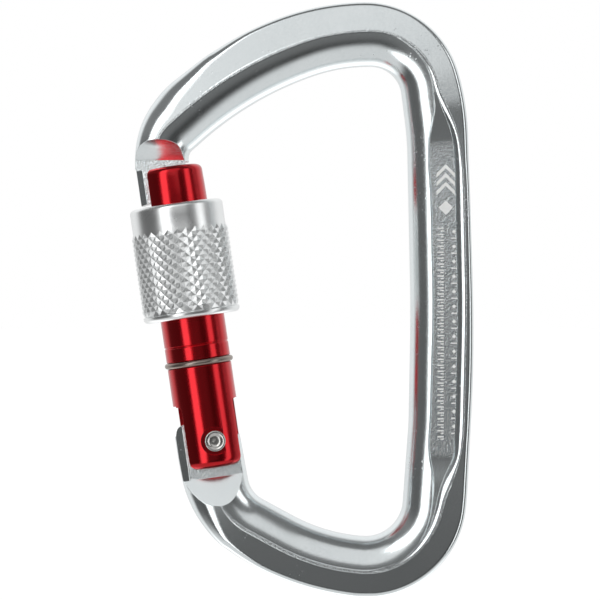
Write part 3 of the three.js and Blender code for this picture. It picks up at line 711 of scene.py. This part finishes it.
# %% Camera
centre = (cad_box[0] + cad_box[1]) / 2
FACE_PLANE = -half_depth / MM
VIEW_WIDTH = 0.11558
LENS = 135
distance = VIEW_WIDTH * LENS / 36
bpy.ops.object.camera_add(location=(centre.x - 0.00024, FACE_PLANE - distance, centre.z - 0.00005))
camera = bpy.context.object
camera.rotation_euler = (math.pi / 2, 0, 0)
camera.data.lens = LENS
camera.data.clip_start, camera.data.clip_end = 0.01, 20
bpy.context.scene.camera = camera
bpy.context.scene.view_settings.view_transform = "Standard"
print(f"camera {distance * 1000:.0f} mm in front of the face")

# %% A small class for shader maths
class Signal:
    """The output of a shader node. Sums and products of signals make Math nodes."""

    def __init__(self, tree, socket):
        self.tree, self.socket = tree, socket

    def maths(self, operation, *values, clamp=False):
        node = self.tree.nodes.new("ShaderNodeMath")
        node.operation, node.use_clamp = operation, clamp
        for i, value in enumerate(values):
            plug(self.tree, value, node.inputs[i])
        return Signal(self.tree, node.outputs[0])

    def __add__(self, other):
        return self.maths("ADD", self, other)

    def __sub__(self, other):
        return self.maths("SUBTRACT", self, other)

    def __rsub__(self, other):
        return self.maths("SUBTRACT", other, self)

    def __mul__(self, other):
        return self.maths("MULTIPLY", self, other)

    def __truediv__(self, other):
        return self.maths("DIVIDE", self, other)

    def __pow__(self, other):
        return self.maths("POWER", self, other)

    __radd__, __rmul__ = __add__, __mul__

    def step(self, low, high):
        """0 below low, 1 above high, and a soft rise between; high may be the smaller."""
        node = self.node("ShaderNodeMapRange", {"interpolation_type": "SMOOTHSTEP"}, Value=self,
                         **{"From Min": min(low, high), "From Max": max(low, high),
                            "To Min": float(high < low), "To Max": float(high >= low)})
        return node["Result"]

    def node(self, kind, settings=None, **sockets):
        return add_node(self.tree, kind, settings, **sockets)


class Outputs:
    """A node's outputs by name."""

    def __init__(self, tree, node):
        self.tree, self.node = tree, node

    def __getitem__(self, name):
        return Signal(self.tree, self.node.outputs[name])


def plug(tree, value, socket):
    """Links a signal to a socket, or sets the socket to a plain value."""
    if isinstance(value, Signal):
        tree.links.new(value.socket, socket)
    else:
        socket.default_value = value


def add_node(tree, kind, settings=None, **sockets):
    """Adds any node: its settings first, then its sockets by name."""
    node = tree.nodes.new(kind)
    for name, value in (settings or {}).items():
        setattr(node, name, value)
    for name, value in sockets.items():
        plug(tree, value, node.inputs[name])
    return Outputs(tree, node)


# %% World: what the metal sees where no light stands
world = bpy.data.worlds.new("studio_air")
bpy.context.scene.world = world
world.use_nodes = True
air = world.node_tree
air.nodes.clear()
direction = add_node(air, "ShaderNodeTexCoord")["Generated"]
parts = add_node(air, "ShaderNodeSeparateXYZ", Vector=direction)
x, y, z = parts["X"], parts["Y"], parts["Z"]
behind = y.step(0.1, 0.5) * 0.8
front = (y * -1).step(0.86, 0.985) * 0.12
sides = x * x * 0.10
above = z.step(0.05, 0.5) * 0.12 + (z * -1).step(0.45, 0.7) * 0.7
tone = behind + front + sides + above + 0.03
background = add_node(air, "ShaderNodeBackground", Color=(1, 1, 1, 1), Strength=tone)
air.links.new(background["Background"].socket, air.nodes.new("ShaderNodeOutputWorld").inputs["Surface"])

# %% Lights
def soft_panel(name, left, up, reach, size, radiance, spread=180):
    """An area light that faces the object: degrees left of the camera's line, degrees up, metres away."""
    a, e = math.radians(left), math.radians(up)
    away = Vector((-math.sin(a) * math.cos(e), -math.cos(a) * math.cos(e), math.sin(e)))
    bpy.ops.object.light_add(type="AREA", location=centre + away * reach)
    light = bpy.context.object
    light.name = name
    light.rotation_euler = away.to_track_quat("Z", "Y").to_euler()
    light.data.shape = "RECTANGLE"
    light.data.size, light.data.size_y = size
    light.data.energy = radiance * size[0] * size[1] * math.pi
    light.data.spread = math.radians(spread)
    light.visible_camera = False
    return light


soft_panel("overhead_panel", 0, 35, 0.55, (0.5, 0.5), 0.62)
soft_panel("left_strip", 31, 2, 0.5, (0.20, 0.8), 2.1)
soft_panel("right_strip", -60, 0, 0.5, (0.18, 0.7), 1.4)

# %% Floor and backdrop
def plain(name, albedo, glow):
    """A matt material that also glows a little."""
    material = bpy.data.materials.new(name)
    material.use_nodes = True
    shader = material.node_tree.nodes["Principled BSDF"]
    shader.inputs["Base Color"].default_value = (albedo, albedo, albedo, 1)
    shader.inputs["Roughness"].default_value = 0.9
    shader.inputs["Specular IOR Level"].default_value = 0
    shader.inputs["Emission Color"].default_value = (1, 1, 1, 1)
    shader.inputs["Emission Strength"].default_value = glow
    return material


clear()
bpy.ops.mesh.primitive_circle_add(vertices=96, radius=4, fill_type="NGON", location=(centre.x, 0, cad_box[0].z))
floor = bpy.context.object
floor.name = "pale_floor"
floor.data.materials.append(plain("pale_floor", 0.12, 0.97))
floor.visible_glossy = False
clear()
bpy.ops.mesh.primitive_uv_sphere_add(radius=4.5, segments=48, ring_count=24)
dome = bpy.context.object
dome.name = "pale_dome"
dome.data.materials.append(plain("pale_dome", 0.0, 1.0))
for ray in ("visible_diffuse", "visible_glossy", "visible_transmission", "visible_shadow", "visible_volume_scatter"):
    setattr(dome, ray, False)

# %% [markdown]
# The finishes. Each one reads Object coordinates, so its grain has a real size on the metal. The forging is
# tumble polished: bright, with fine grain and small pits. The gate is dyed red after turning, the sleeve is
# left silver, and the wire and rivet are plain steel.

# %% Materials
def metal(name, colour, roughness, grain, depth, spots=0.0, tint=(1, 1, 1), edge=0.00012, machined=0.0,
          coat=0.0, metallic=1.0):
    """A metal with grain, pits and worn edges; sizes in metres."""
    material = bpy.data.materials.new(name)
    material.use_nodes = True
    tree = material.node_tree
    shader = tree.nodes["Principled BSDF"]
    shader.inputs["Metallic"].default_value = metallic
    shader.inputs["Coat Weight"].default_value = coat
    shader.inputs["Coat Roughness"].default_value = 0.12
    shader.inputs["Coat IOR"].default_value = 1.5
    where = add_node(tree, "ShaderNodeTexCoord")["Object"]
    fine = add_node(tree, "ShaderNodeTexNoise", Vector=where, Scale=1 / grain, Detail=4.0, Roughness=0.65)["Fac"]
    broad = add_node(tree, "ShaderNodeTexNoise", Vector=where, Scale=120.0, Detail=3.0)["Fac"]
    facing = add_node(tree, "ShaderNodeSeparateXYZ", Vector=add_node(tree, "ShaderNodeTexCoord")["Normal"])["Y"]
    flat = facing.maths("ABSOLUTE", facing).step(0.9965, 0.9995) * machined
    pits = add_node(tree, "ShaderNodeTexVoronoi", Vector=where, Scale=900.0, Randomness=1.0)["Distance"]
    pit = pits.step(0.22, 0.05) * broad.step(0.45, 0.7) * spots
    rough = roughness + (fine - 0.5) * 0.16 + (broad - 0.5) * 0.10 + pit * 0.3
    plug(tree, rough, shader.inputs["Roughness"])
    shade = add_node(tree, "ShaderNodeMix", {"data_type": "RGBA"}, A=(*colour, 1),
                     B=(*[c * t for c, t in zip(colour, tint)], 1), Factor=(fine - 0.5) * (flat * 5 + 0.9) + broad * 0.6)
    plug(tree, shade["Result"], shader.inputs["Base Color"])
    rounded = add_node(tree, "ShaderNodeBevel", {"samples": 6}, Radius=edge)["Normal"]
    bump = add_node(tree, "ShaderNodeBump", Strength=1.0, Distance=depth, Height=fine * (flat * 14 + 0.7) - pit * 3,
                    Normal=rounded)
    plug(tree, bump["Normal"], shader.inputs["Normal"])
    return material


finishes = {
    "polished_aluminium": metal("tumbled_aluminium", (0.84, 0.88, 0.89), 0.19, 0.00035, 0.000006, 1.0, (0.84, 0.87, 0.88), machined=1),
    "red_anodised": metal("red_anodised", (0.58, 0.006, 0.013), 0.22, 0.00025, 0.000003, 0.2, (0.8, 0.9, 0.9), coat=0.4),
    "knurled_aluminium": metal("knurled_silver", (0.90, 0.92, 0.92), 0.30, 0.0002, 0.000003, 0.3, (0.94, 0.94, 0.94), edge=0.00006),
    "etched": metal("etched_aluminium", (0.80, 0.81, 0.80), 0.6, 0.0002, 0.000004, 0.2, (0.85, 0.85, 0.85), edge=0.00002, metallic=0),
    "rivet_steel": metal("rivet_steel", (0.60, 0.59, 0.57), 0.25, 0.0002, 0.000012, 1.0, (0.6, 0.6, 0.6)),
    "spring_steel": metal("spring_steel", (0.36, 0.31, 0.28), 0.30, 0.0002, 0.000006, 0.5, (0.6, 0.55, 0.5)),
}
for piece in pieces:
    piece.data.materials.clear()
    piece.data.materials.append(finishes[piece.get("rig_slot") or "etched"])
for node in ("spring_plunger", "gate_spring"):
    for slot in frame["nodes"][node].material_slots:
        slot.material = finishes["spring_steel"]
print("finishes:", ", ".join(finishes))
